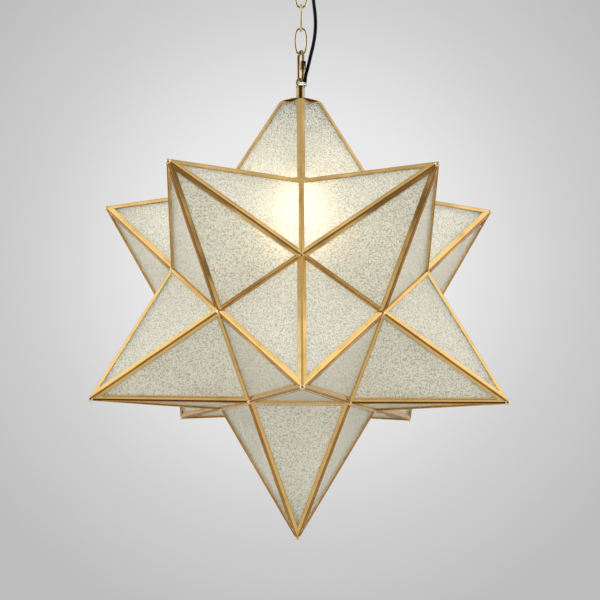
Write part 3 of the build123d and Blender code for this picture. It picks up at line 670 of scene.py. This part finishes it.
def point_edges(cut):
    """The beads and the round folds of one point that stands on +Z; the top point is cut off."""
    tip = Vector((0, 0, TIP_RADIUS))
    tubes = []
    for k in range(5):
        start, end = base_corner(k), base_corner(k + 1)
        normal = pane_normal(k, tip)
        fold_end = start.lerp(tip, cut_share) if cut else tip
        rise = (pane_normal(k - 1, tip) + normal).normalized() * FOLD_RISE
        trim = (fold_end - start).normalized() * FOLD_ENDS
        fold = [start + trim + rise, fold_end - trim + rise]
        tubes.append(tube_along(fold, FOLD_RADIUS, FOLD_ROUNDNESS, closed=False))
        # The darker brass paints the crease's shade as a dark line.
        paint(tubes[-1], shaded_fold_brass)
        outline, widths = [start, end, tip], [VALLEY_WIDTH, RIDGE_WIDTH, RIDGE_WIDTH]
        if cut:
            slope = math.hypot(1, (normal.z / math.hypot(normal.x, normal.y)))
            rim_width = (cut_level - rim_level) * slope
            outline = [start, end, end.lerp(tip, cut_share), start.lerp(tip, cut_share)]
            widths = [VALLEY_WIDTH, RIDGE_WIDTH, rim_width, RIDGE_WIDTH]
        widths = [width - BEAD_RADIUS for width in widths]
        path = [point + normal * STRIP_THICKNESS for point in inset(outline, widths, normal)]
        tubes.append(tube_along(path, BEAD_RADIUS, BEAD_ROUNDNESS, closed=True))
        paint(tubes[-1], strip_brass)
    return join_as("point_edges", tubes)


def point_frame(outward, corner):
    """The matrix that stands a point on the star: +Z becomes outward and +X turns to the corner."""
    across = (corner - outward * corner.dot(outward)).normalized()
    turn = Matrix((across, outward.cross(across), outward)).transposed().to_4x4()
    return Matrix.Translation(STAR_CENTRE) @ turn


def corner_of(name):
    """The first corner at the foot of the point with this name."""
    return next(outward for outward, around in corners if name in around)


whole_point, cut_point = point_edges(False), point_edges(True)
for name, tip in TIPS.items():
    model = cut_point if name == "top_point" else whole_point
    edges = bpy.data.objects.new(f"{name}_edges", model.data.copy())
    bpy.context.scene.collection.objects.link(edges)
    edges.data.transform(point_frame(tip, corner_of(name)))
    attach(edges, "access_point" if name == "access_point" else "star")
for model in (whole_point, cut_point):
    bpy.data.objects.remove(model)
print("edges of", len(TIPS), "points, cut share of the top one", round(cut_share, 3))

# %% [markdown]
# ## The cord
# The cord leaves its grip in the canopy, bows out beside the chain and goes back to the outlet above the
# stem. It is a little longer than the way, so that the pendant can swing. Its line is a NURBS curve
# steered by the same points as in the CAD model, and a mesh tube follows that line. It bends above the
# quick
# link only, and its lower part goes along with the link, so that it never cuts through it.

# %% Cord
CORD_DIAMETER = 0.0038
CORD_ROUTE = [
    (0.0160, 0.0000, -0.0324),
    (0.0160, 0.0000, -0.0385),
    (0.0146, -0.0028, -0.0480),
    (0.0122, -0.0080, -0.0590),
    (0.0134, -0.0115, -0.0720),
    (0.0153, -0.0125, -0.0870),
    (0.0156, -0.0108, -0.1020),
    (0.0137, -0.0080, -0.1160),
    (0.0105, -0.0052, -0.1295),
    (0.0077, -0.0030, -0.1420),
    (0.0048, -0.0019, -0.1520),
    (0.0048, -0.0019, -0.15845),
]
CURVE_STEPS = 12
CORD_ROUNDNESS = 6


def curve_through(name, points, bevel=0.0):
    """An open NURBS curve with the points as its control points."""
    data = bpy.data.curves.new(name, "CURVE")
    data.dimensions = "3D"
    spline = data.splines.new("NURBS")
    spline.points.add(len(points) - 1)
    for control, point in zip(spline.points, points):
        control.co = (*point, 1.0)
    spline.order_u = 3
    spline.use_endpoint_u = True
    data.resolution_u = CURVE_STEPS
    data.bevel_depth = bevel
    data.bevel_resolution = CORD_ROUNDNESS
    data.use_fill_caps = bevel > 0
    curve = bpy.data.objects.new(name, data)
    bpy.context.scene.collection.objects.link(curve)
    return curve


cord_line = curve_through("cord_line", CORD_ROUTE)
line_mesh = bpy.data.meshes.new_from_object(cord_line)
bpy.data.objects.remove(cord_line)

lamp_cord = curve_through("lamp_cord", CORD_ROUTE, CORD_DIAMETER / 2)
only_select(lamp_cord)
bpy.ops.object.convert(target="MESH")
lamp_cord = bpy.context.view_layer.objects.active
bpy.ops.object.shade_smooth_by_angle(angle=math.radians(40))
paint(lamp_cord, cord_black)
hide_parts("cord")
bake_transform(lamp_cord)

# %% [markdown]
# ## Studio
#
# The photograph's background is a plain grey that is brightest behind the star. The world draws it
# for the camera. What comes through the glass is an even light, brighter than white, because two
# rough panes dim it. Polished brass needs a richer surrounding to mirror: bright at the sides, dark
# in front, where the camera stands, and dimmer behind, overhead and below. A Light Path node tells
# the kinds of ray apart. Two broad lamps stand at the upper left and right, and the brass doesn't
# mirror them.

# %% World
scene = bpy.context.scene
scene.view_settings.view_transform = "Standard"
BACKDROP_CENTRE = Vector((0.0162, 0.9873, 0.1583))
BACKDROP_GREYS = [(0.0, 243), (0.082, 232), (0.145, 208), (0.212, 190), (1.0, 184)]
AROUND_BRIGHTNESS = 1.25
THROUGH_BRIGHTNESS = 3.0
MIRRORED_BRIGHTNESS = 1.15
SIDE_BRIGHTNESS = 0.35

world = bpy.data.worlds.new("studio")
scene.world = world
world.use_nodes = True
sky = Shader(world.node_tree)
direction = sky.node("ShaderNodeTexCoord", output="Generated")
toward_centre = {0: direction, 1: BACKDROP_CENTRE}
facing = sky.node("ShaderNodeVectorMath", {"operation": "DOT_PRODUCT"}, toward_centre, "Value")
off_axis = facing.maths("ARCCOSINE", facing)
stops = [(place, rgb(grey, grey, grey)[:3]) for place, grey in BACKDROP_GREYS]
backdrop = sky.node("ShaderNodeValToRGB", {"stops": stops}, {"Fac": off_axis})
seen = sky.node("ShaderNodeBackground", None, {"Color": backdrop, "Strength": 1.0})

# What brass mirrors, by its direction. The camera stands at -Y.
x, y, z = (sky.part(direction, axis) for axis in (X, Y, Z))
in_front = (0.0 - y).smooth(0.46, 0.84)
backwards = 0.5 * y.smooth(0.45, 0.80) + 0.35 * y.smooth(0.88, 0.96)
overhead = z.smooth(0.66, 0.78)
below = (0.0 - z).smooth(0.10, 0.60)
sideways = x.maths("ABSOLUTE", x).smooth(0.90, 0.97)
level_light = (1.0 - 0.93 * in_front) * (1.0 - backwards)
upright_light = (1.0 - 0.55 * overhead) * (1.0 - 0.7 * below)
brightness = MIRRORED_BRIGHTNESS * (level_light * upright_light) + SIDE_BRIGHTNESS * sideways
mirrored_tone = sky.mix(in_front, rgb(255, 252, 250), rgb(226, 186, 140))
mirrored = sky.node("ShaderNodeBackground", None, {"Color": mirrored_tone, "Strength": brightness})
around = {"Color": rgb(226, 228, 232), "Strength": AROUND_BRIGHTNESS}
light = sky.node("ShaderNodeBackground", None, around)
bright_white = {"Color": rgb(252, 252, 255), "Strength": THROUGH_BRIGHTNESS}
through = sky.node("ShaderNodeBackground", None, bright_white)


def for_ray(shader, ray, others, look):
    """One look for this kind of ray and another for all others."""
    both = {0: shader.node("ShaderNodeLightPath", output=ray), 1: others, 2: look}
    return shader.node("ShaderNodeMixShader", None, both)


surround = for_ray(sky, "Is Glossy Ray", light, mirrored)
surround = for_ray(sky, "Is Transmission Ray", surround, through)
surround = for_ray(sky, "Is Camera Ray", surround, seen)
world_output = sky.tree.nodes.new("ShaderNodeOutputWorld")
sky.tree.links.new(surround.socket, world_output.inputs["Surface"])
print("world", world.name, "with", len(sky.tree.nodes), "nodes")

# %% [markdown]
# ## Lamps and floor
#
# The floor is pale and lies well below, where it catches the star's shadow. In the brass it shows as a
# painted glow instead: it is white near the star and dark farther towards the camera, which parts the
# two sides of a ridge.


# %% Lamps and floor
LAMP_SIZE = (2.4, 2.8)
LAMP_POWER = 22
LAMP_PLACES = {"left_lamp": (-2.2, -1.3, 1.4), "right_lamp": (2.3, -1.1, 1.2)}
FLOOR_SIZE = 8
FLOOR_DROP = 1.5
FLOOR_SHADE_FROM = 1.73
FLOOR_SHADE_TO = 1.86
PAINTED_FLOOR_GLOW = 0.66


def area_lamp(name, place):
    """A broad lamp at a place measured from the star's centre, aimed at it."""
    data = bpy.data.lights.new(name, "AREA")
    data.shape = "RECTANGLE"
    data.size, data.size_y = LAMP_SIZE
    data.energy = LAMP_POWER
    lamp = bpy.data.objects.new(name, data)
    lamp.location = STAR_CENTRE + Vector(place)
    lamp.rotation_euler = (-Vector(place)).to_track_quat("-Z", "Y").to_euler()
    lamp.visible_glossy = False
    scene.collection.objects.link(lamp)


for lamp_name, lamp_place in LAMP_PLACES.items():
    area_lamp(lamp_name, lamp_place)

bpy.ops.object.select_all(action="DESELECT")
floor_place = (0, 0, STAR_CENTRE.z - FLOOR_DROP)
bpy.ops.mesh.primitive_plane_add(size=FLOOR_SIZE, location=floor_place)
floor = bpy.context.object
floor.name = "floor"


def floor_finish():
    """A dull pale floor, which glows for glossy rays with a painted reflection, white near the star and
    dark farther off.
    """
    material, shader, bsdf = new_material("floor", Base_Color=rgb(205, 205, 205), Roughness=0.8)
    toward_camera = 0.0 - shader.part(shader.place(), Y)
    far = toward_camera.smooth(FLOOR_SHADE_FROM, FLOOR_SHADE_TO)
    # Painted reflection: for glossy rays the floor glows white near the star and dark farther towards
    # the camera.
    tone = shader.mix(far, rgb(255, 254, 252), rgb(120, 108, 88))
    shown = {"Color": tone, "Strength": PAINTED_FLOOR_GLOW}
    painted_floor_reflection = shader.node("ShaderNodeEmission", None, shown)
    look = for_ray(shader, "Is Glossy Ray", Wire(shader, bsdf.outputs[0]), painted_floor_reflection)
    output = material.node_tree.nodes["Material Output"]
    material.node_tree.links.new(look.socket, output.inputs[0])
    return material


paint(floor, floor_finish())
print("lamps", len(LAMP_PLACES), "and a floor", FLOOR_DROP, "below the star's centre")
